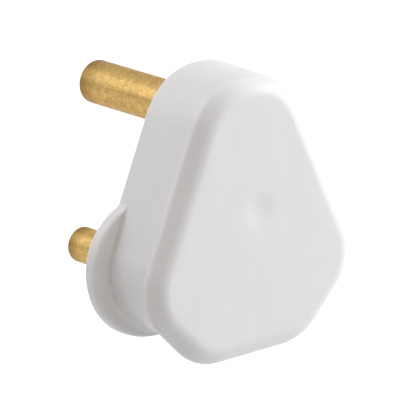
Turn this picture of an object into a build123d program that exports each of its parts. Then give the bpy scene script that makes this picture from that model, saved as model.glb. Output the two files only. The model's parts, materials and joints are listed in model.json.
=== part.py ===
from build123d import *
import os
from math import hypot, radians, sin, tan

# A rewirable three-pin plug with round brass pins.
# The pins point along +Y, the earth pin is uppermost (+Z) and X runs across the plug.
# The origin lies midway between the two line pins, on the face that meets the socket.
# All sizes are in millimetres and all angles in degrees.

# Pins of the 15 A round-pin system
EARTH_PIN_D = 8.71
EARTH_PIN_LENGTH = 28.58
LINE_PIN_D = 7.05
LINE_PIN_LENGTH = 18.62
LINE_PIN_SPACING = 25.40
EARTH_PIN_OFFSET = 28.58
PIN_TIP_EDGE = 0.8

# Inner ends of the pins: a thicker shank and a collar seated in the base, then a drilled terminal head
SHANK_OVERHANG = 0.4
COLLAR_OVERHANG = 1.3
COLLAR_THICKNESS = 1.6
TERMINAL_OVERHANG = 0.5
TERMINAL_LENGTH = 7.5
TERMINAL_EDGE = 0.4
WIRE_HOLE_D = 3.6
WIRE_HOLE_DEPTH = 3.0
PIN_CLEARANCE = 0.05

# Outline of the body at the rim, from which the walls draw in towards the back
APEX_REACH = 10.19
SIDE_SLOPE = 24.1
CHAMFER_SLOPE = 46.3
FOOT_DROP = 17.3
FOOT_HALF_WIDTH = 13.5
APEX_ROUND = 14.4
CORNER_ROUND = 12.0
FOOT_ROUND = 12.6
WALL_FOOT_ROUND = 12.0

# Cover
WALL = 2.2
WALL_DRAFT = 2.0
BACK_WALL = 2.6
BACK_ROOM = 1.05
CROWN_HEIGHT = 2.65
CROWN_INSET = 4.65
LIP_THICKNESS = 1.0
LIP_DROP = 4.33
LIP_PROUD = 0.15
CREASE_ROUND = 1.0
RIM_EDGE = 0.4
RIB_WIDTH = 1.6
RIB_REACH = 1.5
RIB_HEIGHTS = (18.0, 6.0)

# Finger guards: round lobes on the rim beside the line pins
GUARD_R = 14.95
GUARD_OVERHANG = 2.15
GUARD_THICKNESS = 2.7
GUARD_BACK_EDGE = 0.6
GUARD_BLEND = 3.0

# Base
BASE_PROUD = 3.4
BASE_THICKNESS = 5.9
BASE_CLEARANCE = 0.15
BASE_EDGE = 0.6
SHROUD_GAP = 0.8
SHROUD_WALL = 1.2
SHROUD_HEIGHT = 6.0
SHROUD_MOUTH = 5.0

# Cord inlet and clamp
CORD_HOLE_D = 8.0
CORD_HOLE_EDGE = 0.6
CORD_CLEARANCE = 0.1
CORD_FLOOR_GAP = 0.3
CLAMP_ROOM = 0.5
CLAMP_SPACING = 15.8
CLAMP_POST_D = 5.2
CLAMP_THICKNESS = 2.0
CLAMP_WIDTH = 5.6
SADDLE_HEIGHT = 3.0

# Screws
TERMINAL_SCREW_D = 3.5
TERMINAL_SCREW_LENGTH = 4.0
TERMINAL_SCREW_HEAD_D = 6.0
TERMINAL_SCREW_HEAD_HEIGHT = 1.9
CLAMP_SCREW_D = 3.0
CLAMP_SCREW_LENGTH = 7.5
CLAMP_SCREW_HEAD_D = 5.4
COVER_SCREW_D = 4.0
COVER_SCREW_LENGTH = 10.0
COVER_SCREW_HEAD_D = 7.0
COVER_SCREW_HEAD_HEIGHT = 2.4
COVER_SCREW_Z = 12.0
COVER_SCREW_SINK = 0.4
SCREW_CLEARANCE = 0.05
SCREW_HOLE_GAP = 0.2
SCREW_EDGE = 0.3
SLOT_WIDTH = 1.0
SLOT_DEPTH = 1.0

# Threaded bush in the cover
BUSH_D = 6.0
BUSH_LENGTH = 7.0
BUSH_SINK = 0.6
BUSH_GROOVE_WIDTH = 1.4
BUSH_GROOVE_DEPTH = 0.4
BOSS_WALL = 1.5
SCREW_TIP_ROOM = 1.0

# Widths and heights worked out from the sizes above
SIDE_RUN = tan(radians(SIDE_SLOPE))
CHAMFER_RISE = tan(radians(CHAMFER_SLOPE))
SHARP_APEX_Z = EARTH_PIN_OFFSET + APEX_REACH + APEX_ROUND * (1 / sin(radians(SIDE_SLOPE)) - 1)
SIDE_HALF_WIDTH = SHARP_APEX_Z * SIDE_RUN
WALL_FOOT_DROP = FOOT_DROP - LIP_DROP
GUARD_X = SIDE_HALF_WIDTH + GUARD_OVERHANG - GUARD_R
GUARD_Z = GUARD_R - WALL_FOOT_DROP
LINE_PIN_X = LINE_PIN_SPACING / 2

# Depths, from the pin side to the back: the cover is as deep as its clamp and terminals need
RIM_Y = -BASE_PROUD
SEAT_Y = -BASE_THICKNESS
COLLAR_Y = SEAT_Y + COLLAR_THICKNESS
TERMINAL_END_Y = SEAT_Y - TERMINAL_LENGTH
TERMINAL_SCREW_BACK_Y = TERMINAL_END_Y - TERMINAL_SCREW_HEAD_HEIGHT
CORD_Y = SEAT_Y - CORD_FLOOR_GAP - CORD_HOLE_D / 2
CLAMP_SEAT_Y = CORD_Y - CORD_HOLE_D / 2 - CORD_CLEARANCE
CLAMP_BACK_Y = CLAMP_SEAT_Y - CLAMP_THICKNESS
INNER_BACK_Y = min(CLAMP_BACK_Y, TERMINAL_SCREW_BACK_Y) - BACK_ROOM
BACK_Y = INNER_BACK_Y - BACK_WALL
CREASE_Y = BACK_Y + CROWN_HEIGHT
LIP_Y = CREASE_Y + LIP_THICKNESS
DRAFT_RUN = (RIM_Y - LIP_Y) * tan(radians(WALL_DRAFT))
CAVITY_INSET = WALL + DRAFT_RUN
CLAMP_DROP = WALL_FOOT_DROP - CAVITY_INSET - CLAMP_ROOM - CLAMP_WIDTH / 2
COVER_SCREW_SEAT_Y = -COVER_SCREW_SINK - COVER_SCREW_HEAD_HEIGHT
BUSH_Y = SEAT_Y - BUSH_SINK
TOUCH = 0.01


def slab(sketch, front_y, back_y, draft=0.0):
    """Solid between two depths, from a sketch across X and Z, drawn in towards the back by a draft angle."""
    plane = Plane(origin=(0, front_y, 0), x_dir=(1, 0, 0), z_dir=(0, -1, 0))
    return extrude(plane * sketch, front_y - back_y, taper=draft)


def turned(profile):
    """Solid of revolution about Y, from the (radius, y) points of its half section."""
    return revolve(make_face(Polyline(*profile, close=True)), Axis.Y)


def rod(radius, front_y, back_y, x=0.0, z=0.0):
    """Plain round bar along Y."""
    return slab(Pos(x, z) * Circle(radius), front_y, back_y)


def body_outline(foot_drop, foot_round):
    """Outline of the body: round apex, slanted sides, lower chamfers and a foot cut flat at foot_drop."""
    chamfer_drop = FOOT_DROP + CHAMFER_RISE * FOOT_HALF_WIDTH
    corner_x = (SIDE_HALF_WIDTH + SIDE_RUN * chamfer_drop) / (1 + SIDE_RUN * CHAMFER_RISE)
    corner_z = (SIDE_HALF_WIDTH - corner_x) / SIDE_RUN
    foot_x = FOOT_HALF_WIDTH + (FOOT_DROP - foot_drop) / CHAMFER_RISE
    right = [(corner_x, corner_z), (foot_x, -foot_drop)]
    left = [(-x, z) for x, z in reversed(right)]
    outline = make_face(Polyline((0, SHARP_APEX_Z), *right, *left, close=True))
    outline = fillet(outline.vertices().sort_by(Axis.Y)[-1], APEX_ROUND)
    corners = outline.vertices().sort_by(Axis.X)
    outline = fillet([corners[0], corners[-1]], CORNER_ROUND)
    return fillet(outline.vertices().sort_by(Axis.Y)[:2], foot_round)


def back_outline():
    """Outline of the back plate, which stands a little proud of the walls and hangs below their foot."""
    return offset(body_outline(FOOT_DROP, FOOT_ROUND), LIP_PROUD - DRAFT_RUN)


def wall_outline():
    """Outline of the walls at the rim, whose foot is flush with the finger guards."""
    return body_outline(WALL_FOOT_DROP, WALL_FOOT_ROUND)


def guard_outline():
    """Wall outline with the two finger guard lobes, blended into the slanted sides."""
    between = Rectangle(2 * GUARD_X, GUARD_R, align=(Align.CENTER, Align.MAX))
    whole = wall_outline() + Pos(0, GUARD_Z) * between
    lobe = Pos(GUARD_X, GUARD_Z) * Rot(0, 0, 180) * Circle(GUARD_R)
    whole += lobe + mirror(lobe, Plane.YZ)
    corners = [
        v
        for v in whole.vertices()
        if v.Y > GUARD_Z and abs(hypot(abs(v.X) - GUARD_X, v.Y - GUARD_Z) - GUARD_R) < TOUCH
    ]
    return fillet(corners, GUARD_BLEND)


def back_plate():
    """Back of the cover: a face that rolls over an arc to a soft edge, with a thin lip before it."""
    crown_r = (CROWN_INSET**2 + CROWN_HEIGHT**2) / (2 * CROWN_HEIGHT)
    dome = slab(offset(back_outline(), crown_r - CROWN_INSET), RIM_Y, BACK_Y)
    dome = fillet(dome.faces().sort_by(Axis.Y)[0].edges(), crown_r)
    plate = slab(back_outline(), LIP_Y, BACK_Y) & dome
    crease = plate.edges().filter_by_position(Axis.Y, CREASE_Y - TOUCH, CREASE_Y + TOUCH)
    return fillet(crease, CREASE_ROUND)


def cover_ribs(cavity):
    """Ribs on the slanted walls that carry the base."""
    rib = Rectangle(2 * (CAVITY_INSET + RIB_REACH), RIB_WIDTH)
    ribs = Sketch()
    for height in RIB_HEIGHTS:
        for hand in (-1, 1):
            wall_x = hand * (SIDE_HALF_WIDTH - SIDE_RUN * height)
            ribs += Pos(wall_x, height) * Rot(0, 0, hand * SIDE_SLOPE) * rib
    return slab(ribs & cavity, SEAT_Y, INNER_BACK_Y)


def cord_inlet():
    """Cutter for the round cord inlet in the foot, widened towards the outside."""
    hole_r = CORD_HOLE_D / 2
    foot_z = -WALL_FOOT_DROP + (RIM_Y - CORD_Y) * tan(radians(WALL_DRAFT))
    inside_z = foot_z + 2 * CAVITY_INSET
    outside_z = foot_z - CORD_HOLE_EDGE
    profile = [
        (0, inside_z),
        (hole_r, inside_z),
        (hole_r, foot_z + CORD_HOLE_EDGE),
        (hole_r + 2 * CORD_HOLE_EDGE, outside_z),
        (0, outside_z),
    ]
    section = make_face(Plane.XZ * Polyline(*profile, close=True))
    return Pos(0, CORD_Y, 0) * revolve(section, Axis.Z)


def make_cover():
    """Cup moulding with finger guards, seating ribs, a screw boss and the cord inlet."""
    cavity = offset(wall_outline(), -CAVITY_INSET)
    guard = slab(guard_outline(), RIM_Y, RIM_Y - GUARD_THICKNESS, WALL_DRAFT)
    guard = chamfer(guard.faces().sort_by(Axis.Y)[0].edges(), GUARD_BACK_EDGE)
    cover = slab(wall_outline(), RIM_Y, LIP_Y, WALL_DRAFT) + back_plate() + guard
    cover = chamfer(cover.faces().sort_by(Axis.Y)[-1].edges(), RIM_EDGE)
    boss_r = BUSH_D / 2 + BOSS_WALL
    cover -= slab(cavity, RIM_Y, INNER_BACK_Y)
    cover += cover_ribs(cavity)
    cover += rod(boss_r, SEAT_Y, INNER_BACK_Y, z=COVER_SCREW_Z)
    cover -= rod(BUSH_D / 2 + SCREW_CLEARANCE, SEAT_Y, BUSH_Y - BUSH_LENGTH, z=COVER_SCREW_Z)
    tip_y = COVER_SCREW_SEAT_Y - COVER_SCREW_LENGTH - SCREW_TIP_ROOM
    cover -= rod(COVER_SCREW_D / 2 + SCREW_HOLE_GAP, SEAT_Y, tip_y, z=COVER_SCREW_Z)
    return cover - cord_inlet()


def pin_places():
    """Name, x, z, diameter and free length of each pin."""
    return [
        ("earth", 0.0, EARTH_PIN_OFFSET, EARTH_PIN_D, EARTH_PIN_LENGTH),
        ("live", LINE_PIN_X, 0.0, LINE_PIN_D, LINE_PIN_LENGTH),
        ("neutral", -LINE_PIN_X, 0.0, LINE_PIN_D, LINE_PIN_LENGTH),
    ]


def clamp_places():
    """Places of the two cord clamp screws, as x and z."""
    return [(side * CLAMP_SPACING / 2, -CLAMP_DROP) for side in (-1, 1)]


def terminal_room(x, z, pin_d, wall):
    """Round space about a line terminal, grown by a wall."""
    room_r = pin_d / 2 + COLLAR_OVERHANG + SHROUD_GAP
    return rod(room_r + wall, SEAT_Y, SEAT_Y - SHROUD_HEIGHT, x, z)


def shroud_mouth(x, z, pin_d):
    """Gap in a shroud's wall that lets the wire out towards the cord."""
    reach = pin_d / 2 + COLLAR_OVERHANG + SHROUD_GAP + SHROUD_WALL
    mouth = Rectangle(SHROUD_MOUTH, reach, align=(Align.CENTER, Align.MAX))
    return slab(Pos(x, z) * mouth, SEAT_Y, SEAT_Y - SHROUD_HEIGHT)


def make_base():
    """Plate that carries the pins, with terminal shrouds and the cord saddle on its inside."""
    base = slab(offset(wall_outline(), -CAVITY_INSET - BASE_CLEARANCE), 0, SEAT_Y)
    base = chamfer(base.faces().sort_by(Axis.Y)[-1].edges(), BASE_EDGE)
    saddle = Pos(0, -CLAMP_DROP) * Rectangle(CLAMP_SPACING, CLAMP_WIDTH)
    base += slab(saddle, SEAT_Y, SEAT_Y - SADDLE_HEIGHT)
    for x, z in clamp_places():
        base += rod(CLAMP_POST_D / 2, SEAT_Y, CLAMP_SEAT_Y, x, z)
    for name, x, z, pin_d, length in pin_places():
        if name != "earth":
            base += terminal_room(x, z, pin_d, SHROUD_WALL) - shroud_mouth(x, z, pin_d)
            base -= terminal_room(x, z, pin_d, 0)
        base -= rod(pin_d / 2 + SHANK_OVERHANG + PIN_CLEARANCE, 0, SEAT_Y, x, z)
        base -= rod(pin_d / 2 + COLLAR_OVERHANG + PIN_CLEARANCE, COLLAR_Y, SEAT_Y, x, z)
    for x, z in clamp_places():
        hole_end_y = CLAMP_BACK_Y + CLAMP_SCREW_LENGTH + SCREW_TIP_ROOM
        base -= rod(CLAMP_SCREW_D / 2 + SCREW_CLEARANCE, hole_end_y, CLAMP_SEAT_Y, x, z)
    base -= Pos(0, CORD_Y, -CLAMP_DROP) * Cylinder(CORD_HOLE_D / 2 + CORD_CLEARANCE, 2 * CLAMP_WIDTH)
    head_r = COVER_SCREW_HEAD_D / 2 + SCREW_HOLE_GAP
    base -= rod(head_r, 0, COVER_SCREW_SEAT_Y, z=COVER_SCREW_Z)
    return base - rod(COVER_SCREW_D / 2 + SCREW_HOLE_GAP, 0, SEAT_Y, z=COVER_SCREW_Z)


def make_pin(x, z, pin_d, length):
    """Turned pin: bevelled tip, contact length, seated shank and collar, and a drilled terminal head."""
    pin_r = pin_d / 2
    shank_r = pin_r + SHANK_OVERHANG
    collar_r = pin_r + COLLAR_OVERHANG
    head_r = pin_r + TERMINAL_OVERHANG
    pin = turned([
        (0, length),
        (pin_r - PIN_TIP_EDGE, length),
        (pin_r, length - PIN_TIP_EDGE),
        (pin_r, 0),
        (shank_r, 0),
        (shank_r, COLLAR_Y),
        (collar_r, COLLAR_Y),
        (collar_r, SEAT_Y),
        (head_r, SEAT_Y),
        (head_r, TERMINAL_END_Y + TERMINAL_EDGE),
        (head_r - TERMINAL_EDGE, TERMINAL_END_Y),
        (0, TERMINAL_END_Y),
    ])
    wire_y = SEAT_Y - WIRE_HOLE_DEPTH
    pin -= Pos(0, wire_y, 0) * Cylinder(WIRE_HOLE_D / 2, 4 * collar_r)
    screw_hole_y = TERMINAL_END_Y + TERMINAL_SCREW_LENGTH + SCREW_TIP_ROOM
    pin -= rod(TERMINAL_SCREW_D / 2 + SCREW_CLEARANCE, screw_hole_y, TERMINAL_END_Y)
    return Pos(x, 0, z) * pin


def cheese_screw(seat_y, facing, shank_d, length, head_d, head_height):
    """Cheese-head screw whose head sits at seat_y and faces along +Y (1) or -Y (-1)."""
    top_y = seat_y + facing * head_height
    screw = turned([
        (0, top_y),
        (head_d / 2 - SCREW_EDGE, top_y),
        (head_d / 2, top_y - facing * SCREW_EDGE),
        (head_d / 2, seat_y),
        (shank_d / 2, seat_y),
        (shank_d / 2, seat_y - facing * (length - SCREW_EDGE)),
        (shank_d / 2 - SCREW_EDGE, seat_y - facing * length),
        (0, seat_y - facing * length),
    ])
    slot = Pos(0, top_y, 0) * Box(2 * head_d, 2 * SLOT_DEPTH, SLOT_WIDTH)
    return screw - slot


def countersink_profile(gap):
    """Half section of a clamp screw's head and shank, grown by a gap."""
    shank_r = CLAMP_SCREW_D / 2 + gap
    head_r = CLAMP_SCREW_HEAD_D / 2 + gap
    tip_y = CLAMP_BACK_Y + CLAMP_SCREW_LENGTH
    return [
        (0, CLAMP_BACK_Y),
        (head_r, CLAMP_BACK_Y),
        (shank_r, CLAMP_BACK_Y + head_r - shank_r),
        (shank_r, tip_y),
        (0, tip_y),
    ]


def make_clamp():
    """Cord clamp bar with round ends and countersunk screw holes."""
    bar = Pos(0, -CLAMP_DROP) * SlotCenterToCenter(CLAMP_SPACING, CLAMP_WIDTH)
    clamp = slab(bar, CLAMP_SEAT_Y, CLAMP_BACK_Y)
    for x, z in clamp_places():
        clamp -= Pos(x, 0, z) * turned(countersink_profile(SCREW_CLEARANCE))
    return clamp


def make_clamp_screw(x, z):
    """Countersunk slotted screw, flush with the clamp bar."""
    slot = Pos(0, CLAMP_BACK_Y, 0) * Box(2 * CLAMP_SCREW_HEAD_D, 2 * SLOT_DEPTH, SLOT_WIDTH)
    return Pos(x, 0, z) * (turned(countersink_profile(0)) - slot)


def make_bush():
    """Turned brass bush with a groove that keys it into its boss."""
    outer_r = BUSH_D / 2
    groove_r = outer_r - BUSH_GROOVE_DEPTH
    end_y = BUSH_Y - BUSH_LENGTH
    middle_y = (BUSH_Y + end_y) / 2
    bush = rod(outer_r, BUSH_Y, end_y)
    band = Circle(outer_r) - Circle(groove_r)
    bush -= slab(band, middle_y + BUSH_GROOVE_WIDTH / 2, middle_y - BUSH_GROOVE_WIDTH / 2)
    bush -= rod(COVER_SCREW_D / 2 + SCREW_CLEARANCE, BUSH_Y, end_y)
    return Pos(0, 0, COVER_SCREW_Z) * bush


def make_parts():
    """Every piece of the plug by name."""
    parts = {
        "cover": make_cover(),
        "base": make_base(),
        "cord_clamp": make_clamp(),
        "cover_insert": make_bush(),
    }
    for name, x, z, pin_d, length in pin_places():
        parts[f"{name}_pin"] = make_pin(x, z, pin_d, length)
        screw = cheese_screw(
            TERMINAL_END_Y,
            -1,
            TERMINAL_SCREW_D,
            TERMINAL_SCREW_LENGTH,
            TERMINAL_SCREW_HEAD_D,
            TERMINAL_SCREW_HEAD_HEIGHT,
        )
        parts[f"{name}_terminal_screw"] = Pos(x, 0, z) * screw
    for hand, (x, z) in zip(("left", "right"), clamp_places()):
        parts[f"{hand}_clamp_screw"] = make_clamp_screw(x, z)
    screw = cheese_screw(
        COVER_SCREW_SEAT_Y,
        1,
        COVER_SCREW_D,
        COVER_SCREW_LENGTH,
        COVER_SCREW_HEAD_D,
        COVER_SCREW_HEAD_HEIGHT,
    )
    parts["cover_screw"] = Pos(0, 0, COVER_SCREW_Z) * screw
    return parts


os.makedirs("parts", exist_ok=True)
for node, shape in make_parts().items():
    export_step(shape, f"parts/{node}.step")
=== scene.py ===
import json
import math

import bmesh
import bpy
from mathutils import Matrix, Vector
from mathutils.geometry import delaunay_2d_cdt


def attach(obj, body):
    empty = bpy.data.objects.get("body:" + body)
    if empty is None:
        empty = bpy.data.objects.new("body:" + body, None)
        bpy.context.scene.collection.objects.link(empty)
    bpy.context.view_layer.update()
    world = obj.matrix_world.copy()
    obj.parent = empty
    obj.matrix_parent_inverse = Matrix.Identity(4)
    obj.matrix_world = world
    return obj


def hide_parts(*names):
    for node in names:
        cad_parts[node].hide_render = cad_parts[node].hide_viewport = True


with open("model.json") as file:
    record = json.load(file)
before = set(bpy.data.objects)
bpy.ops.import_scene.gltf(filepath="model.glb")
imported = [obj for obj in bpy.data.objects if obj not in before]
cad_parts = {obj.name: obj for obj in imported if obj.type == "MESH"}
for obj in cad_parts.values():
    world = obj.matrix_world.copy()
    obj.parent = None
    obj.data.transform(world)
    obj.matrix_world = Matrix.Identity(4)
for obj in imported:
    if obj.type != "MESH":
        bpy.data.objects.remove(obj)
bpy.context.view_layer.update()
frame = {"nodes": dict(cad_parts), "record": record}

# Sizes are in millimetres, in the frame of the solids that the pieces stand for
MM = 0.001

# Depths along the pins, from the face that meets the socket
RIM_Y = -3.4
SEAT_Y = -5.9
BACK_Y = -19.95
BACK_WALL = 2.6
INNER_BACK_Y = BACK_Y + BACK_WALL

# Pins, with the collar that holds them in the base and the drilled terminal head inside
EARTH_PIN_R = 8.71 / 2
EARTH_PIN_LENGTH = 28.58
EARTH_PIN_Z = 28.58
LINE_PIN_R = 7.05 / 2
LINE_PIN_LENGTH = 18.62
LINE_PIN_X = 25.4 / 2
PIN_TIP_EDGE = 0.8
PIN_TIP_SOFT = 0.3
SHANK_OVERHANG = 0.4
COLLAR_OVERHANG = 1.3
COLLAR_THICKNESS = 1.6
COLLAR_Y = SEAT_Y + COLLAR_THICKNESS
TERMINAL_OVERHANG = 0.5
TERMINAL_LENGTH = 7.5
TERMINAL_END_Y = SEAT_Y - TERMINAL_LENGTH
TERMINAL_EDGE = 0.4
TERMINAL_HOLE_R = 1.8
TERMINAL_HOLE_DEPTH = 5.0
WIRE_HOLE_R = 1.8
WIRE_HOLE_DEPTH = 3.0
WIRE_HOLE_REACH = 9.0

# Outline of the back plate: a round apex, slanted sides, lower chamfers and a flat foot
APEX_REACH = 10.19
APEX_ROUND = 14.4
APEX_FULLNESS = 0.25
SIDE_SLOPE = math.radians(24.1)
CHAMFER_SLOPE = math.radians(46.3)
FOOT_DROP = 17.3
FOOT_HALF_WIDTH = 13.5
CORNER_ROUND = 12.0
FOOT_ROUND = 12.6

SIDE_RUN = math.tan(SIDE_SLOPE)
SIDE_NORMAL = Vector((math.cos(SIDE_SLOPE), math.sin(SIDE_SLOPE)))
APEX_CENTRE = Vector((0, EARTH_PIN_Z + APEX_REACH - APEX_ROUND))
SIDE_REACH = SIDE_NORMAL.dot(APEX_CENTRE) + APEX_ROUND
HALF_WIDTH = SIDE_REACH / SIDE_NORMAL.x
CHAMFER_RISE = math.tan(CHAMFER_SLOPE)

# Section of the back plate: the roll of its crown, and the lip that stands proud of the walls
PLATE_THICKNESS = 3.65
LIP_Y = BACK_Y + PLATE_THICKNESS
LIP_PROUD = 0.15
LIP_EDGE = 0.15
LIP_EDGE_SHARE = 0.4
CROWN_ROUND = 3.7
CROWN_BAND = 1.2
CROWN_SLOPE = math.radians(47.0)
CREASE_ROUND = 1.5

# Walls, which draw in towards the back, and the hollow between them
WALL = 2.2
WALL_DRAFT = math.tan(math.radians(2.0))
DRAFT_RUN = (RIM_Y - LIP_Y) * WALL_DRAFT
WALL_FOOT_DROP = 12.6
WALL_FOOT_ROUND = 15.0
WALL_CHAMFER_INSET = 1.5
HOLLOW_INSET = WALL + DRAFT_RUN
HOLLOW_FOOT_DROP = 12.97
HOLLOW_FOOT_ROUND = 12.0
RIM_EDGE = 0.4

# Finger guards, whose upper part is more tightly curved than the lower
GUARD_THICKNESS = 2.7
LEDGE_Y = RIM_Y - GUARD_THICKNESS
GUARD_R = 14.95
GUARD_TOP_R = 12.9
GUARD_OVERHANG = 2.15
GUARD_Z = GUARD_R - HOLLOW_FOOT_DROP
GUARD_BLEND = 2.0
GUARD_ROUND = 0.8
GUARD_ROUND_SHARE = 0.6
GUARD_CORNER_ROUND = 1.2
GUARD_CORNER_SHARE = 0.35

# Inside the cover: the boss with its holes, the ribs that seat the base, and the cord inlet
BOSS_Z = 12.0
BOSS_R = 4.5
BUSH_HOLE_R = 3.05
BUSH_HOLE_DEPTH = 7.6
SCREW_HOLE_R = 2.2
SCREW_HOLE_DEPTH = 7.9
RIB_HEIGHTS = (18.0, 6.0)
RIB_WIDTH = 1.6
RIB_REACH = 1.5
CORD_HOLE_R = 4.0
CORD_FLOOR_GAP = 0.3
CORD_Y = SEAT_Y - CORD_FLOOR_GAP - CORD_HOLE_R
CORD_HOLE_EDGE = 0.6
CORD_HOLE_KNEE = 0.18
CORD_HOLE_REACH = 5.0

# How far a cutter reaches past what it cuts
OVERSHOOT = 1.0

# The dimple that the cooling boss left in the back face
SINK_PLACE = Vector((0.8, 12.2))
SINK_RADIUS = 2.8
SINK_DEPTH = 0.3
SINK_STEEPNESS = 4

# Painted shade in the corner between walls and finger guards: how far it spreads and where it fades out
SEAM_REACH = 0.8
SEAM_SOFT = 0.4
SEAM_LEDGE = 0.3
SEAM_END_Z = -9.0
SEAM_TOP_Z = 14.5
SEAM_FADE = 5.0

# Where a pin counts as tip edge, and how the painted shade grows towards its underside
EDGE_MARGIN = 0.01
UNDERSIDE_POWER = 1.5

# Spacing of the mesh: lengths, numbers of steps, and shares of a stretch where rows of points lie
OUTLINE_STEP = 0.42
ARC_STEP = OUTLINE_STEP / 4
FACE_STEP = 1.3
FACE_CLEARANCE = 0.6
APEX_STEPS = 160
CROWN_STEPS = 10
CREASE_STEPS = 8
LIP_STEPS = 2
GUARD_STEPS = 6
RIM_STEPS = 3
TIP_STEPS = 5
CIRCLE_STEPS = 128
HOLE_STEPS = 48
BAND_ROWS = (0.33, 0.67, 1.0)
LIP_ROWS = (0.35, 0.7)
WALL_ROWS = (0.0, 0.15, 0.3, 0.45, 0.6, 0.75, 0.88, 0.95, 1.0)
LEDGE_ROWS = (0.35, 0.7, 1.0)
PIN_ROWS = (0.8, 0.6, 0.4, 0.2, 0.0)

# Lengths too small to count, distance within which points are one, angles from which edges are sharp
TINY = 1e-6
WELD = 1e-4
COVER_SHARP = math.radians(32)
PIN_SHARP = math.radians(35)

# The triangulation's mode that keeps only what lies inside the outline
KEEP_INSIDE = 1

# Colours of what lies on the surfaces, of the shade painted in the seam and under the pins, and the tint
# of brass seen at a flat angle
PLASTIC_SPECK = (0.3, 0.25, 0.2)
SEAM_PAINTED_SHADE = (0.58, 0.43, 0.32)
BRASS_UNDER_SHADE = (0.25, 0.14, 0.04)
BRASS_SPECK = (0.16, 0.085, 0.025)
BRASS_TIP_EDGE = (0.2, 0.11, 0.03)
BRASS_FLAT_TINT = (0.86, 0.76, 0.62)
ZINC_CAST = (0.6, 0.52, 0.34)

# Wander of the plastic's roughness, share of its peel that the fine grain has, relief depths on metal
SHEEN_SWING = 0.05
FINE_PEEL_SHARE = 0.25
TURNING_DEPTH = 0.006
SCRATCH_DEPTH = 0.004

# Camera: angles in degrees, and the lens in pixels of the picture
AZIMUTH = -39.482
ELEVATION = 16.769
ROLL = -1.389
DISTANCE = 884.3147
AIM = Vector((0, -7.5, 12))
AIM_RIGHT = -2.638
AIM_UP = -0.211
FOCAL_PIXELS = 4597.6054
PICTURE_PIXELS = 400
SENSOR = 36.0
CLIP_START = 10.0
CLIP_END = 20000.0

# Floor, well below the plug, and the light that comes from all round
FLOOR_Z = -60.0
FLOOR_SIZE = 3000.0
FLOOR_GLOW = 0.7
FLOOR_GREY = 0.62
FLOOR_ROUGHNESS = 0.9
WHITE = (1, 1, 1)
AMBIENT = 0.16
AMBIENT_TINT = (1.2, 1.0, 0.84)

# Large soft lamps: azimuth and elevation that they shine from, in degrees, power in watts and tint
LAMP_AIM = Vector((0, -8, 12))
LAMP_DISTANCE = 900.0
LAMP_SIZE = 600.0
LAMPS = [
    ("right_lamp", 60, 8, 5.35, (0.95, 0.99, 1.04)),
    ("left_lamp", 240, 38, 1.95, (0.97, 0.985, 1.06)),
    ("high_right_lamp", 60, 38, 2.0, (0.95, 1.0, 1.04)),
    ("overhead_lamp", 0, 89, 2.1, (0.98, 1.0, 1.02)),
    ("rear_left_lamp", 240, 65, 1.0, (0.97, 0.99, 1.04)),
    ("front_lamp", 0, 8, 1.0, (1.05, 1.0, 0.95)),
    ("front_right_lamp", 30, 8, 0.7, (0.98, 1.0, 1.02)),
    ("rear_lamp", 209, 26, 0.36, (0.985, 0.98, 1.03)),
    ("rear_high_lamp", 209, 50, 0.4, (0.985, 0.98, 1.03)),
    ("pin_side_lamp", 180, 4, 1.4, (1.0, 1.0, 1.0)),
]


def unit(vector):
    """A 2-D vector at length one, or zero where it has no length."""
    return vector / vector.length if vector.length > TINY else Vector((0, 0))


def quarter(steps):
    """Angles of a quarter turn, both ends included."""
    return [math.pi / 2 * k / steps for k in range(steps + 1)]


def arc(centre, radius, start, end):
    """Points along an arc, from one angle to another in radians."""
    steps = max(2, math.ceil(abs(end - start) * radius / ARC_STEP))
    angles = [start + (end - start) * k / steps for k in range(steps + 1)]
    return [centre + radius * Vector((math.cos(a), math.sin(a))) for a in angles]


def rounded(points, radii):
    """An open line through points, with each inner corner rounded by its radius."""
    line = [points[0]]
    for before, corner, after, radius in zip(points, points[1:], points[2:], radii):
        back = unit(before - corner)
        on = unit(after - corner)
        half = back.angle(on) / 2
        centre = corner + unit(back + on) * radius / math.sin(half)
        reach = radius / math.tan(half)
        start = corner + back * reach - centre
        end = corner + on * reach - centre
        start_angle = math.atan2(start.y, start.x)
        turn = math.remainder(math.atan2(end.y, end.x) - start_angle, 2 * math.pi)
        line += arc(centre, radius, start_angle, start_angle + turn)
    return line + [points[-1]]


def spread(line, count):
    """count + 1 points evenly spaced along a line."""
    lengths = [0.0]
    for a, b in zip(line, line[1:]):
        lengths.append(lengths[-1] + (b - a).length)
    points = []
    k = 0
    for i in range(count + 1):
        place = lengths[-1] * i / count
        while k < len(line) - 2 and lengths[k + 1] < place:
            k += 1
        gap = lengths[k + 1] - lengths[k]
        share = (place - lengths[k]) / gap if gap else 0.0
        points.append(line[k].lerp(line[k + 1], min(share, 1.0)))
    return points


def steps_for(line):
    """How many steps the mesh takes along a line."""
    length = sum((b - a).length for a, b in zip(line, line[1:]))
    return max(2, round(length / OUTLINE_STEP))


def closed_loop(half):
    """A whole outline from its right half, drawn from the apex down to the foot."""
    return half + [Vector((-p.x, p.y)) for p in reversed(half[1:-1])]


def outward(loop):
    """Outward normals of a closed outline."""
    normals = []
    for before, after in zip(loop[-1:] + loop[:-1], loop[1:] + loop[:1]):
        along = unit(after - before)
        normals.append(Vector((-along.y, along.x)))
    return normals


def apex():
    """The right half of the apex, from the top to the slanted side, a little fuller than a circle."""
    sweep = math.pi / 2 - SIDE_SLOPE
    points = []
    for k in range(APEX_STEPS + 1):
        share = k / APEX_STEPS
        angle = math.pi / 2 - sweep * share
        out = APEX_ROUND + APEX_FULLNESS * math.sin(math.pi * share) ** 2
        along = APEX_FULLNESS * math.sin(2 * math.pi * share) * math.pi / sweep
        facing_out = Vector((math.cos(angle), math.sin(angle)))
        points.append(APEX_CENTRE + facing_out * out + Vector((facing_out.y, -facing_out.x)) * along)
    return points


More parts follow.
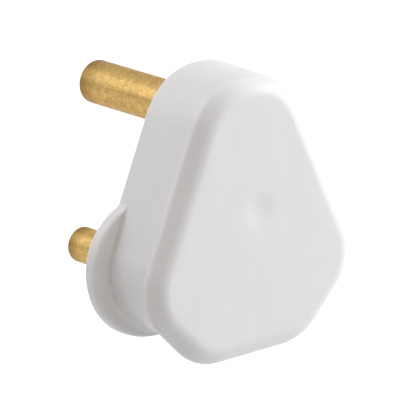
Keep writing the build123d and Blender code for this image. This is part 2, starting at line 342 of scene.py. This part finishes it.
def lower_corners(chamfer_inset, foot_drop):
    """Both ends of a lower chamfer before they are rounded; the inset moves the chamfer inwards."""
    drop = FOOT_DROP + CHAMFER_RISE * FOOT_HALF_WIDTH - chamfer_inset / math.cos(CHAMFER_SLOPE)
    corner_x = (HALF_WIDTH + SIDE_RUN * drop) / (1 + SIDE_RUN * CHAMFER_RISE)
    corner = Vector((corner_x, (HALF_WIDTH - corner_x) / SIDE_RUN))
    return corner, Vector(((drop - foot_drop) / CHAMFER_RISE, -foot_drop))


def guard_line():
    """The right finger guard: a blend out of the side, an upper arc and a lower arc down to the foot."""
    side_up = Vector((-SIDE_NORMAL.y, SIDE_NORMAL.x))
    lobe = Vector((HALF_WIDTH + GUARD_OVERHANG - GUARD_R, GUARD_Z))
    shoulder = lobe + Vector((GUARD_R - GUARD_TOP_R, 0))
    aside = SIDE_REACH + GUARD_BLEND - SIDE_NORMAL.dot(shoulder)
    above = math.sqrt((GUARD_TOP_R + GUARD_BLEND) ** 2 - aside**2)
    blend_centre = shoulder + SIDE_NORMAL * aside + side_up * above
    to_lobe = math.atan2(shoulder.y - blend_centre.y, shoulder.x - blend_centre.x)
    leave = math.atan2(-SIDE_NORMAL.y, -SIDE_NORMAL.x)
    turn = math.remainder(to_lobe - leave, 2 * math.pi)
    lobe_start = math.remainder(to_lobe + math.pi, 2 * math.pi)
    past_foot = math.acos((GUARD_Z + WALL_FOOT_DROP) / GUARD_R)
    line = arc(blend_centre, GUARD_BLEND, leave, leave + turn)
    line += arc(shoulder, GUARD_TOP_R, lobe_start, 0.0)
    return line + arc(lobe, GUARD_R, 0.0, -math.pi / 2 - past_foot)


def outlines():
    """Matching closed outlines of the back plate, the walls and the finger guards."""
    guard = guard_line()
    leaving, landing = guard[0], guard[-1]
    corner, foot = lower_corners(0.0, FOOT_DROP)
    wall_corner, wall_foot = lower_corners(WALL_CHAMFER_INSET, WALL_FOOT_DROP)
    tangent = WALL_FOOT_ROUND * math.tan(CHAMFER_SLOPE / 2) + TINY
    wall_parting = wall_foot + tangent * Vector((math.cos(CHAMFER_SLOPE), math.sin(CHAMFER_SLOPE)))
    across = Vector((math.sin(CHAMFER_SLOPE), -math.cos(CHAMFER_SLOPE)))
    parting = wall_parting + across * WALL_CHAMFER_INSET

    top = apex() + [leaving]
    flank = rounded([leaving, corner, parting], [CORNER_ROUND])
    wall_flank = rounded([leaving, wall_corner, wall_parting], [CORNER_ROUND])
    foot_turn = rounded([parting, foot, Vector((0, -FOOT_DROP))], [FOOT_ROUND])
    wall_turn = rounded([wall_parting, wall_foot, landing], [WALL_FOOT_ROUND])
    wall_end = [landing, Vector((0, -WALL_FOOT_DROP))]

    end_steps = steps_for(wall_end)
    turn_steps = steps_for(foot_turn) - end_steps
    flank_steps = steps_for(guard) - turn_steps
    shared = spread(top, steps_for(top))
    last = spread(wall_end, end_steps)[1:]
    back = shared + spread(flank, flank_steps)[1:] + spread(foot_turn, turn_steps + end_steps)[1:]
    wall = shared + spread(wall_flank, flank_steps)[1:] + spread(wall_turn, turn_steps)[1:] + last
    guards = shared + spread(guard, flank_steps + turn_steps)[1:] + last
    back = closed_loop(back)
    back = [p + n * (LIP_PROUD - DRAFT_RUN) for p, n in zip(back, outward(back))]
    return back, closed_loop(wall), closed_loop(guards)


def hollow_outline():
    """Outline of the hollow inside, which takes the base."""
    corner, foot = lower_corners(0.0, HOLLOW_FOOT_DROP)
    top = arc(APEX_CENTRE, APEX_ROUND, math.pi / 2, SIDE_SLOPE)
    corners = [top[-1], corner, foot, Vector((0, -HOLLOW_FOOT_DROP))]
    line = top + rounded(corners, [CORNER_ROUND, HOLLOW_FOOT_ROUND])
    loop = closed_loop(spread(line, steps_for(line) // 2))
    return [p - n * HOLLOW_INSET for p, n in zip(loop, outward(loop))]


def crown_line():
    """How the back face rolls over: a round, a sloping band and a soft crease, as (inset, y) points."""
    along, down = math.cos(CROWN_SLOPE), math.sin(CROWN_SLOPE)
    points = []
    for k in range(CROWN_STEPS + 1):
        angle = CROWN_SLOPE * k / CROWN_STEPS
        points.append((CROWN_ROUND * math.sin(angle), CROWN_ROUND * (1 - math.cos(angle))))
    out, drop = points[-1]
    for share in BAND_ROWS:
        points.append((out + CROWN_BAND * along * share, drop + CROWN_BAND * down * share))
    out, drop = points[-1]
    for k in range(1, CREASE_STEPS + 1):
        angle = CROWN_SLOPE + (math.pi / 2 - CROWN_SLOPE) * k / CREASE_STEPS
        points.append((
            out + CREASE_ROUND * (math.sin(angle) - down),
            drop + CREASE_ROUND * (along - math.cos(angle)),
        ))
    edge = points[-1][0]
    return [(edge - out, BACK_Y + drop) for out, drop in points]


CROWN = crown_line()


def in_space(point, y):
    """A point of an outline at a depth."""
    return Vector((point.x, y, point.y))


def drawn_in(point, normal, y):
    """A point of a wall at a depth: the walls draw in from the rim towards the back."""
    return point - normal * (RIM_Y - y) * WALL_DRAFT


def lip_part(back, wall):
    """Section under the lip, from its softened edge towards the wall."""
    hang = back - wall
    edge = min(LIP_EDGE, LIP_EDGE_SHARE * hang.length)
    inward = -unit(hang)
    line = []
    for angle in quarter(LIP_STEPS):
        inset = edge * (1 - math.cos(angle))
        line.append(in_space(back + inward * inset, LIP_Y - edge * (1 - math.sin(angle))))
    return line + [in_space(back.lerp(wall, share), LIP_Y) for share in LIP_ROWS]


def guard_part(rim, rim_out, guard, guard_out):
    """Section down the wall, round the corner and over the finger guard's ledge to its edge."""
    wall = drawn_in(rim, rim_out, LEDGE_Y)
    hang = drawn_in(guard, guard_out, LEDGE_Y) - wall
    width = hang.length
    aside = unit(hang)
    soft = min(GUARD_ROUND, GUARD_ROUND_SHARE * width)
    fill = min(GUARD_CORNER_ROUND, GUARD_CORNER_SHARE * width)
    line = []
    for share in WALL_ROWS:
        y = LIP_Y + (LEDGE_Y - fill - LIP_Y) * share
        line.append(in_space(drawn_in(rim, rim_out, y), y))
    for angle in quarter(GUARD_STEPS)[1:]:
        y = LEDGE_Y - fill * (1 - math.sin(angle))
        line.append(in_space(drawn_in(rim, rim_out, y) + aside * fill * (1 - math.cos(angle)), y))
    for share in LEDGE_ROWS:
        line.append(in_space(wall + aside * (fill + (width - fill - soft) * share), LEDGE_Y))
    for angle in quarter(GUARD_STEPS)[1:]:
        out = width - soft + soft * math.sin(angle)
        line.append(in_space(wall + aside * out, LEDGE_Y + soft * (1 - math.cos(angle))))
    return line


def rim_part(guard, guard_out):
    """Section from the finger guard's edge over the softened edge of the rim."""
    middle_y = (LEDGE_Y + GUARD_ROUND + RIM_Y) / 2
    line = [in_space(drawn_in(guard, guard_out, middle_y), middle_y)]
    for angle in quarter(RIM_STEPS):
        inset = RIM_EDGE * (1 - math.cos(angle))
        y = RIM_Y - RIM_EDGE * (1 - math.sin(angle))
        line.append(in_space(drawn_in(guard, guard_out, y) - guard_out * inset, y))
    return line


def cover_section(back, back_out, rim, rim_out, guard, guard_out):
    """One line over the cover's outside, from the edge of the back face to the rim."""
    line = [in_space(back - back_out * inset, y) for inset, y in CROWN]
    line += lip_part(back, drawn_in(rim, rim_out, LIP_Y))
    line += guard_part(rim, rim_out, guard, guard_out)
    return line + rim_part(guard, guard_out)


def crossings(ring, y):
    """Where a closed outline crosses a height, from left to right."""
    found = []
    for a, b in zip(ring, ring[1:] + ring[:1]):
        if (a.y > y) != (b.y > y):
            found.append(a.x + (b.x - a.x) * (y - a.y) / (b.y - a.y))
    return sorted(found)


def grid_inside(ring, step):
    """Points of a triangular grid inside a closed outline, clear of its edge."""
    low, high = min(p.y for p in ring), max(p.y for p in ring)
    row_step = step * math.sqrt(3) / 2
    clear = (FACE_CLEARANCE * step) ** 2
    points = []
    for row in range(int((high - low) / row_step) + 1):
        y = low + row * row_step
        stagger = (row % 2) / 2
        edges = crossings(ring, y)
        for left, right in zip(edges[::2], edges[1::2]):
            x = (math.ceil((left + step / 2) / step - stagger) + stagger) * step
            while x < right - step / 2:
                point = Vector((x, y))
                if min((point - p).length_squared for p in ring) > clear:
                    points.append(point)
                x += step
    return points


def fill_flat(bm, ring_verts, ring, inner, depth_at):
    """Fills a closed ring of vertices with triangles through the inner points."""
    count = len(ring)
    edges = [(k, (k + 1) % count) for k in range(count)]
    flat = delaunay_2d_cdt(ring + inner, edges, [], KEEP_INSIDE, TINY)
    places, faces, sources = flat[0], flat[2], flat[3]
    verts = []
    for place, source in zip(places, sources):
        on_ring = [k for k in source if k < count]
        if on_ring:
            verts.append(ring_verts[on_ring[0]])
        else:
            verts.append(bm.verts.new(in_space(place, depth_at(place))))
    for face in faces:
        corners = [verts[k] for k in face]
        if len(set(corners)) == 3:
            bm.faces.new(corners)


def back_depth(place):
    """Depth of the back face, with the dimple over the boss."""
    away = (place - SINK_PLACE).length / SINK_RADIUS
    return BACK_Y + SINK_DEPTH * math.exp(-(away**SINK_STEEPNESS))


def to_object(bm, name):
    """A mesh object from mesh data, which is used up."""
    bmesh.ops.recalc_face_normals(bm, faces=bm.faces)
    mesh = bpy.data.meshes.new(name)
    bm.to_mesh(mesh)
    bm.free()
    thing = bpy.data.objects.new(name, mesh)
    bpy.context.scene.collection.objects.link(thing)
    return thing


def prism(ring, front_y, back_y, name):
    """A closed prism between two depths."""
    bm = bmesh.new()
    fronts = [bm.verts.new(in_space(p, front_y)) for p in ring]
    backs = [bm.verts.new(in_space(p, back_y)) for p in ring]
    for k in range(len(ring)):
        j = (k + 1) % len(ring)
        bm.faces.new((fronts[k], fronts[j], backs[j], backs[k]))
    fill_flat(bm, fronts, ring, [], lambda place: front_y)
    fill_flat(bm, backs, ring, [], lambda place: back_y)
    return to_object(bm, name)


def circle(centre, radius, steps=CIRCLE_STEPS):
    """Points of a circle."""
    angles = [-2 * math.pi * k / steps for k in range(steps)]
    return [Vector(centre) + radius * Vector((math.cos(a), math.sin(a))) for a in angles]


def lathe(profile, name, steps=CIRCLE_STEPS):
    """A closed solid of revolution about Y from the (radius, y) points of its half section."""
    bm = bmesh.new()
    rings = []
    for radius, y in profile:
        if radius == 0:
            rings.append([bm.verts.new((0, y, 0))])
        else:
            rings.append([bm.verts.new(in_space(p, y)) for p in circle((0, 0), radius, steps)])
    for upper, lower in zip(rings, rings[1:]):
        for k in range(steps):
            j = (k + 1) % steps
            corners = [upper[k % len(upper)], upper[j % len(upper)]]
            corners += [lower[j % len(lower)], lower[k % len(lower)]]
            bm.faces.new(list(dict.fromkeys(corners)))
    return to_object(bm, name)


def rod(radius, front_y, back_y, name):
    """A plain round cutter along Y."""
    return lathe([(0, front_y), (radius, front_y), (radius, back_y), (0, back_y)], name, HOLE_STEPS)


def moved(thing, matrix):
    """Moves a solid's own mesh."""
    thing.data.transform(matrix)
    thing.data.update()
    return thing


def cut(thing, cutter):
    """Cuts one solid out of another; the cutter is used up."""
    step = thing.modifiers.new("cut", "BOOLEAN")
    step.operation = "DIFFERENCE"
    step.solver = "EXACT"
    step.object = cutter
    depsgraph = bpy.context.evaluated_depsgraph_get()
    made = bpy.data.meshes.new_from_object(thing.evaluated_get(depsgraph))
    thing.modifiers.clear()
    old, used = thing.data, cutter.data
    thing.data = made
    bpy.data.meshes.remove(old)
    bpy.data.objects.remove(cutter)
    bpy.data.meshes.remove(used)


def finish_piece(thing, node, sharp_angle):
    """Brings a finished piece to metres and lets it stand for its solid."""
    thing.data.transform(Matrix.Scale(MM, 4))
    thing.data.shade_smooth()
    thing.data.set_sharp_from_angle(angle=sharp_angle)
    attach(thing, "root")
    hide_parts(node)


def mark(thing, name, amount_at):
    """Writes a value from 0 to 1 on every vertex, for a material to read."""
    layer = thing.data.attributes.new(name, "FLOAT", "POINT")
    for vertex, value in zip(thing.data.vertices, layer.data):
        value.value = amount_at(vertex.co / MM)


def held(value):
    """A value kept between 0 and 1."""
    return min(1.0, max(0.0, value))


def cover_skin(back, wall, guard):
    """The cover's closed outside, with the rim filled."""
    back_out, wall_out, guard_out = outward(back), outward(wall), outward(guard)
    bm = bmesh.new()
    columns = []
    for places in zip(back, back_out, wall, wall_out, guard, guard_out):
        columns.append([bm.verts.new(p) for p in cover_section(*places)])
    for here, there in zip(columns, columns[1:] + columns[:1]):
        for row in range(len(here) - 1):
            bm.faces.new((here[row], there[row], there[row + 1], here[row + 1]))
    crown_inset = CROWN[0][0]
    face_ring = [p - n * crown_inset for p, n in zip(back, back_out)]
    rim_ring = [p - n * RIM_EDGE for p, n in zip(guard, guard_out)]
    first = [column[0] for column in columns]
    last = [column[-1] for column in columns]
    fill_flat(bm, first, face_ring, grid_inside(face_ring, FACE_STEP), back_depth)
    fill_flat(bm, last, rim_ring, [], lambda place: RIM_Y)
    bmesh.ops.remove_doubles(bm, verts=bm.verts, dist=WELD)
    bmesh.ops.dissolve_degenerate(bm, edges=bm.edges, dist=WELD)
    return to_object(bm, "cover_shell")


def make_hollow():
    """Cutter for the room inside the cover, which leaves the ribs and the boss standing."""
    hollow = prism(hollow_outline(), RIM_Y + OVERSHOOT, INNER_BACK_Y, "hollow")
    reach, half = HOLLOW_INSET + RIB_REACH, RIB_WIDTH / 2
    corners = [Vector(c) for c in ((-reach, -half), (-reach, half), (reach, half), (reach, -half))]
    for height in RIB_HEIGHTS:
        for hand in (-1, 1):
            middle = Vector((hand * (HALF_WIDTH - SIDE_RUN * height), height))
            turn = Matrix.Rotation(hand * SIDE_SLOPE, 2)
            ring = [middle + turn @ corner for corner in corners]
            cut(hollow, prism(ring, SEAT_Y, INNER_BACK_Y - OVERSHOOT, "rib"))
    cut(hollow, prism(circle((0, BOSS_Z), BOSS_R), SEAT_Y, INNER_BACK_Y - OVERSHOOT, "boss"))
    return hollow


def make_inlet():
    """Cutter for the cord inlet in the foot, with its bevelled mouth."""
    inlet = lathe([
        (0, CORD_HOLE_REACH),
        (CORD_HOLE_R, CORD_HOLE_REACH),
        (CORD_HOLE_R, CORD_HOLE_EDGE),
        (CORD_HOLE_R + CORD_HOLE_KNEE, CORD_HOLE_KNEE),
        (CORD_HOLE_R + 2 * CORD_HOLE_EDGE, -CORD_HOLE_EDGE),
        (0, -CORD_HOLE_EDGE),
    ], "inlet")
    foot_z = -WALL_FOOT_DROP + (RIM_Y - CORD_Y) * WALL_DRAFT
    upright = Matrix.Rotation(math.pi / 2, 4, "X")
    return moved(inlet, Matrix.Translation((0, CORD_Y, foot_z)) @ upright)


def seam_line(wall, guard):
    """The corner between wall and finger guards, along the stretches where the guards stand out."""
    inner = [drawn_in(p, n, LEDGE_Y) for p, n in zip(wall, outward(wall))]
    outer = [drawn_in(p, n, LEDGE_Y) for p, n in zip(guard, outward(guard))]
    return [a for a, b in zip(inner, outer) if (b - a).length > SEAM_LEDGE]


def seam_at(point, seam):
    """How near a point of the cover is to that corner, less towards the corner's ends."""
    if abs(point.y - LEDGE_Y) > SEAM_REACH:
        return 0.0
    flat = Vector((point.x, point.z))
    near = math.hypot(min((flat - p).length for p in seam), point.y - LEDGE_Y)
    fade = held(min(point.z - SEAM_END_Z, SEAM_TOP_Z - point.z) / SEAM_FADE)
    return fade * held((SEAM_REACH - near) / SEAM_SOFT)


def make_cover():
    """The cup moulding: its outside, the hollow inside with ribs and boss, and the cord inlet."""
    back, wall, guard = outlines()
    cover = cover_skin(back, wall, guard)
    cut(cover, make_hollow())
    for radius, depth in ((BUSH_HOLE_R, BUSH_HOLE_DEPTH), (SCREW_HOLE_R, SCREW_HOLE_DEPTH)):
        cut(cover, prism(circle((0, BOSS_Z), radius), SEAT_Y + OVERSHOOT, SEAT_Y - depth, "hole"))
    cut(cover, make_inlet())
    finish_piece(cover, "cover", COVER_SHARP)
    seam = seam_line(wall, guard)
    # Where shade is painted in the corner between walls and finger guards
    mark(cover, "seam", lambda p: seam_at(p, seam))
    return cover


def tip_profile(radius, length):
    """Half section of a pin's tip: a bevel whose two edges are softened."""
    flat = radius - PIN_TIP_EDGE
    points = [(0.0, length), (flat - PIN_TIP_SOFT, length)]
    corners = [
        (Vector((flat, length)), Vector((-1, 0)), unit(Vector((1, -1)))),
        (Vector((radius, length - PIN_TIP_EDGE)), unit(Vector((-1, 1))), Vector((0, -1))),
    ]
    for corner, back, on in corners:
        start, end = corner + back * PIN_TIP_SOFT, corner + on * PIN_TIP_SOFT
        for k in range(TIP_STEPS + 1):
            t = k / TIP_STEPS
            p = start * (1 - t) ** 2 + corner * 2 * t * (1 - t) + end * t**2
            points.append((p.x, p.y))
    return points


def make_pin(name, x, z, radius, length):
    """A turned pin with its tip, shank, collar and drilled terminal head."""
    shank, collar, head = (radius + more for more in (SHANK_OVERHANG, COLLAR_OVERHANG, TERMINAL_OVERHANG))
    tip_start = length - PIN_TIP_EDGE - PIN_TIP_SOFT
    profile = tip_profile(radius, length)
    profile += [(radius, tip_start * share) for share in PIN_ROWS]
    profile += [(shank, 0.0), (shank, COLLAR_Y), (collar, COLLAR_Y), (collar, SEAT_Y), (head, SEAT_Y)]
    profile += [(head, TERMINAL_END_Y + TERMINAL_EDGE), (head - TERMINAL_EDGE, TERMINAL_END_Y)]
    profile += [(0.0, TERMINAL_END_Y)]
    pin = lathe(profile, f"{name}_pin_turned")
    wire_hole = rod(WIRE_HOLE_R, WIRE_HOLE_REACH, -WIRE_HOLE_REACH, "wire_hole")
    upright = Matrix.Rotation(math.pi / 2, 4, "X")
    cut(pin, moved(wire_hole, Matrix.Translation((0, SEAT_Y - WIRE_HOLE_DEPTH, 0)) @ upright))
    hole_y = TERMINAL_END_Y + TERMINAL_HOLE_DEPTH
    cut(pin, rod(TERMINAL_HOLE_R, hole_y, TERMINAL_END_Y - OVERSHOOT, "terminal_hole"))
    moved(pin, Matrix.Translation((x, 0, z)))
    finish_piece(pin, f"{name}_pin", PIN_SHARP)
    mark(pin, "edge", lambda p: float(tip_start - EDGE_MARGIN < p.y < length - EDGE_MARGIN))
    # Towards the underside of the pin, where shade is painted
    mark(pin, "under", lambda p: held((z - p.z) / radius) ** UNDERSIDE_POWER)
    return pin


def node_tree(name):
    """A new material with its node tree and its shader."""
    material = bpy.data.materials.new(name)
    material.use_nodes = True
    return material, material.node_tree, material.node_tree.nodes["Principled BSDF"]


def noise(tree, size, detail=2.0, stretch=(1, 1, 1), turn=(0, 0, 0), shift=0.0):
    """Noise with features of about size millimetres, drawn out along the axes by stretch."""
    spot = tree.nodes.new("ShaderNodeTexCoord")
    mapping = tree.nodes.new("ShaderNodeMapping")
    mapping.vector_type = "TEXTURE"
    mapping.inputs["Location"].default_value = (shift * MM, shift * MM, shift * MM)
    mapping.inputs["Rotation"].default_value = [math.radians(a) for a in turn]
    mapping.inputs["Scale"].default_value = [size * MM * s for s in stretch]
    texture = tree.nodes.new("ShaderNodeTexNoise")
    texture.inputs["Scale"].default_value = 1.0
    texture.inputs["Detail"].default_value = detail
    tree.links.new(spot.outputs["Object"], mapping.inputs["Vector"])
    tree.links.new(mapping.outputs["Vector"], texture.inputs["Vector"])
    return texture.outputs["Fac"]


def marked(tree, name):
    """A value that mark() wrote on the vertices."""
    attribute = tree.nodes.new("ShaderNodeAttribute")
    attribute.attribute_name = name
    return attribute.outputs["Fac"]


def span(tree, value, low, high, first=0.0, last=1.0):
    """A value taken from the range low to high into first to last, and held inside it."""
    node = tree.nodes.new("ShaderNodeMapRange")
    for socket, number in zip(("From Min", "From Max", "To Min", "To Max"), (low, high, first, last)):
        node.inputs[socket].default_value = number
    tree.links.new(value, node.inputs["Value"])
    return node.outputs["Result"]


def combined(tree, operation, value, other):
    """Two values taken together by a math operation."""
    node = tree.nodes.new("ShaderNodeMath")
    node.operation = operation
    tree.links.new(value, node.inputs[0])
    tree.links.new(other, node.inputs[1])
    return node.outputs[0]


def tint(tree, factor, under, over):
    """Lays one colour over another by a factor; the lower one may come from other nodes."""
    node = tree.nodes.new("ShaderNodeMix")
    node.data_type = "RGBA"
    tree.links.new(factor, node.inputs["Factor"])
    lower, upper = [s for s in node.inputs if s.type == "RGBA"]
    if isinstance(under, tuple):
        lower.default_value = (*under, 1)
    else:
        tree.links.new(under, lower)
    upper.default_value = (*over, 1)
    return next(s for s in node.outputs if s.type == "RGBA")


def coats(tree, paint, layers):
    """Lays colours over a paint, each by its strength where its pattern rises from low to high."""
    for pattern, low, high, strength, colour in layers:
        paint = tint(tree, span(tree, pattern, low, high, last=strength), paint, colour)
    return paint


def relief(tree, height, depth, under=None):
    """A surface normal roughened by a height of up to depth millimetres."""
    node = tree.nodes.new("ShaderNodeBump")
    node.inputs["Distance"].default_value = depth * MM
    tree.links.new(height, node.inputs["Height"])
    if under:
        tree.links.new(under, node.inputs["Normal"])
    return node.outputs["Normal"]


def shade(colour, factor):
    """A colour made lighter or darker."""
    return tuple(c * factor for c in colour)


def plastic(name, colour, roughness, peel):
    """White moulded plastic: flow mottle, tiny dark specks, an orange peel skin and painted shade in the
    seam.
    """
    material, tree, shader = node_tree(name)
    flow = noise(tree, size=7.0, detail=3.0, stretch=(1, 1, 1.8))
    specks = noise(tree, size=0.45, detail=0.0)
    patches = span(tree, noise(tree, size=1.5), low=0.35, high=0.6, first=0.3, last=0.6)
    paint = tint(tree, span(tree, flow, low=0.3, high=0.7), shade(colour, 0.985), shade(colour, 1.015))
    paint = coats(tree, paint, [(specks, 0.9, 0.915, 0.5, PLASTIC_SPECK)])
    # Painted shade: a brownish darkening in the corner between walls and finger guards, broken into
    # patches
    paint = tint(tree, combined(tree, "MULTIPLY", marked(tree, "seam"), patches), paint, SEAM_PAINTED_SHADE)
    tree.links.new(paint, shader.inputs["Base Color"])
    dull, glossy = roughness + SHEEN_SWING, roughness - SHEEN_SWING
    sheen = span(tree, noise(tree, size=2.5, detail=3.0), low=0.3, high=0.7, first=glossy, last=dull)
    tree.links.new(sheen, shader.inputs["Roughness"])
    skin = relief(tree, noise(tree, size=1.1, detail=1.0), peel)
    grain = relief(tree, noise(tree, size=0.18), peel * FINE_PEEL_SHARE, skin)
    tree.links.new(grain, shader.inputs["Normal"])
    return material


def brass(name, colour):
    """Turned brass: turning rings, drawn lines, scratches, specks, and painted shade that grows towards
    the underside.
    """
    material, tree, shader = node_tree(name)
    shader.inputs["Metallic"].default_value = 1.0
    shader.inputs["Specular Tint"].default_value = (*BRASS_FLAT_TINT, 1)
    rings = noise(tree, size=0.3, stretch=(30, 1, 30))
    lines = noise(tree, size=0.45, detail=1.0, stretch=(1, 80, 1), shift=1.0)
    cloud = noise(tree, size=1.5, detail=5.0)
    grain = noise(tree, size=0.4, detail=3.0)
    scratch = noise(tree, size=0.4, detail=1.0, stretch=(10, 1, 1), turn=(20, 0, 35))
    specks = noise(tree, size=0.5, shift=3.0)
    patches = span(tree, grain, low=0.35, high=0.65, first=0.25, last=0.8)
    paint = tint(tree, span(tree, cloud, low=0.35, high=0.7), shade(colour, 1.1), shade(colour, 0.78))
    paint = coats(tree, paint, [
        (grain, 0.45, 0.7, 0.5, shade(colour, 0.66)),
        (rings, 0.5, 0.75, 0.35, shade(colour, 0.6)),
        (lines, 0.6, 0.7, 0.3, shade(colour, 0.5)),
        (scratch, 0.58, 0.72, 0.6, shade(colour, 1.35)),
    ])
    # Painted shade: the pin darkened in patches towards its underside
    paint = tint(tree, combined(tree, "MULTIPLY", marked(tree, "under"), patches), paint, BRASS_UNDER_SHADE)
    paint = coats(tree, paint, [
        (specks, 0.62, 0.69, 0.45, BRASS_SPECK),
        (marked(tree, "edge"), 0.0, 1.0, 0.8, BRASS_TIP_EDGE),
    ])
    tree.links.new(paint, shader.inputs["Base Color"])
    sheen = span(tree, cloud, low=0.3, high=0.75, first=0.24, last=0.4)
    tree.links.new(sheen, shader.inputs["Roughness"])
    turned = relief(tree, rings, TURNING_DEPTH)
    tree.links.new(relief(tree, scratch, SCRATCH_DEPTH, turned), shader.inputs["Normal"])
    return material


def steel(name, colour):
    """Zinc plated steel: turned rings, a faint yellow cast in patches and duller spots."""
    material, tree, shader = node_tree(name)
    shader.inputs["Metallic"].default_value = 1.0
    cloud = noise(tree, size=0.9, detail=4.0)
    cast = noise(tree, size=2.0)
    rings = noise(tree, size=0.12, stretch=(1, 8, 1))
    paint = tint(tree, span(tree, cloud, low=0.3, high=0.7), shade(colour, 1.05), shade(colour, 0.8))
    paint = coats(tree, paint, [(cast, 0.5, 0.7, 0.3, ZINC_CAST)])
    tree.links.new(paint, shader.inputs["Base Color"])
    sheen = span(tree, cloud, low=0.3, high=0.7, first=0.26, last=0.45)
    tree.links.new(sheen, shader.inputs["Roughness"])
    tree.links.new(relief(tree, rings, SCRATCH_DEPTH), shader.inputs["Normal"])
    return material


def dress(thing, material):
    """Gives a piece its one material."""
    thing.data.materials.clear()
    thing.data.materials.append(material)


def facing(azimuth, elevation):
    """Direction towards a camera or lamp; azimuth 0 is straight behind the back face."""
    a, e = math.radians(azimuth), math.radians(elevation)
    return Vector((math.sin(a) * math.cos(e), -math.cos(a) * math.cos(e), math.sin(e)))


def make_camera():
    """The camera at the photograph's viewing angle."""
    back = facing(AZIMUTH, ELEVATION)
    level = facing(AZIMUTH + 90, 0)
    upright = back.cross(level)
    roll = math.radians(ROLL)
    right = math.cos(roll) * level + math.sin(roll) * upright
    up = -math.sin(roll) * level + math.cos(roll) * upright
    eye = AIM + right * AIM_RIGHT + up * AIM_UP + back * DISTANCE
    camera = bpy.data.objects.new("camera", bpy.data.cameras.new("camera"))
    camera.data.sensor_width = SENSOR
    camera.data.lens = FOCAL_PIXELS / PICTURE_PIXELS * SENSOR
    camera.data.clip_start = CLIP_START * MM
    camera.data.clip_end = CLIP_END * MM
    turn = Matrix((right, up, back)).transposed().to_4x4()
    camera.matrix_world = Matrix.Translation(eye * MM) @ turn
    bpy.context.scene.collection.objects.link(camera)
    bpy.context.scene.camera = camera


def seen_directly(tree):
    """One for rays from the camera and for those that metal or glass throws on, otherwise zero."""
    path = tree.nodes.new("ShaderNodeLightPath")
    seen = path.outputs["Is Camera Ray"]
    for other in ("Is Glossy Ray", "Is Transmission Ray"):
        seen = combined(tree, "MAXIMUM", seen, path.outputs[other])
    return seen


def make_floor():
    """A plain pale floor, which glows to white only where it is seen directly."""
    bm = bmesh.new()
    low = Matrix.Translation((0, 0, FLOOR_Z * MM))
    bmesh.ops.create_grid(bm, x_segments=2, y_segments=2, size=FLOOR_SIZE * MM, matrix=low)
    floor = to_object(bm, "floor")
    paint, tree, shader = node_tree("floor_paint")
    shader.inputs["Base Color"].default_value = (FLOOR_GREY, FLOOR_GREY, FLOOR_GREY, 1)
    shader.inputs["Roughness"].default_value = FLOOR_ROUGHNESS
    shader.inputs["Emission Color"].default_value = (*WHITE, 1)
    glow = span(tree, seen_directly(tree), low=0.0, high=1.0, last=FLOOR_GLOW)
    tree.links.new(glow, shader.inputs["Emission Strength"])
    dress(floor, paint)


def make_world():
    """White for what the camera and the metal see, and a dim warm light for the rest."""
    world = bpy.data.worlds.new("world")
    bpy.context.scene.world = world
    world.use_nodes = True
    tree = world.node_tree
    sky = tree.nodes["Background"]
    seen = seen_directly(tree)
    strength = span(tree, seen, low=0.0, high=1.0, first=AMBIENT)
    tree.links.new(tint(tree, seen, AMBIENT_TINT, WHITE), sky.inputs["Color"])
    tree.links.new(strength, sky.inputs["Strength"])


def make_lamp(name, azimuth, elevation, power, colour):
    """A large soft lamp that shines on the plug."""
    way = facing(azimuth, elevation)
    light = bpy.data.lights.new(name, "AREA")
    light.size = LAMP_SIZE * MM
    light.energy = power
    light.color = colour
    lamp = bpy.data.objects.new(name, light)
    lamp.location = (LAMP_AIM + way * LAMP_DISTANCE) * MM
    lamp.rotation_mode = "QUATERNION"
    lamp.rotation_quaternion = (-way).to_track_quat("-Z", "Y")
    bpy.context.scene.collection.objects.link(lamp)


# Pieces that stand for their solids; the other solids show as they are
pieces = {
    "cover": make_cover(),
    "earth_pin": make_pin("earth", 0.0, EARTH_PIN_Z, EARTH_PIN_R, EARTH_PIN_LENGTH),
    "live_pin": make_pin("live", LINE_PIN_X, 0.0, LINE_PIN_R, LINE_PIN_LENGTH),
    "neutral_pin": make_pin("neutral", -LINE_PIN_X, 0.0, LINE_PIN_R, LINE_PIN_LENGTH),
}
materials = {
    "cover_plastic": plastic("cover_plastic", (0.8, 0.8, 0.8), roughness=0.4, peel=0.006),
    "base_plastic": plastic("base_plastic", (0.76, 0.76, 0.75), roughness=0.48, peel=0.012),
    "pin_brass": brass("pin_brass", (0.52, 0.345, 0.122)),
    "bush_brass": brass("bush_brass", (0.56, 0.38, 0.14)),
    "screw_steel": steel("screw_steel", (0.6, 0.6, 0.59)),
}
for part in frame["record"]["subparts"]:
    node = part["node"]
    shown = pieces[node] if node in pieces else frame["nodes"][node]
    dress(shown, materials[part["material_slot"]])

# The scene around them
make_camera()
make_floor()
make_world()
for lamp in LAMPS:
    make_lamp(*lamp)
bpy.context.scene.view_settings.view_transform = "Standard"
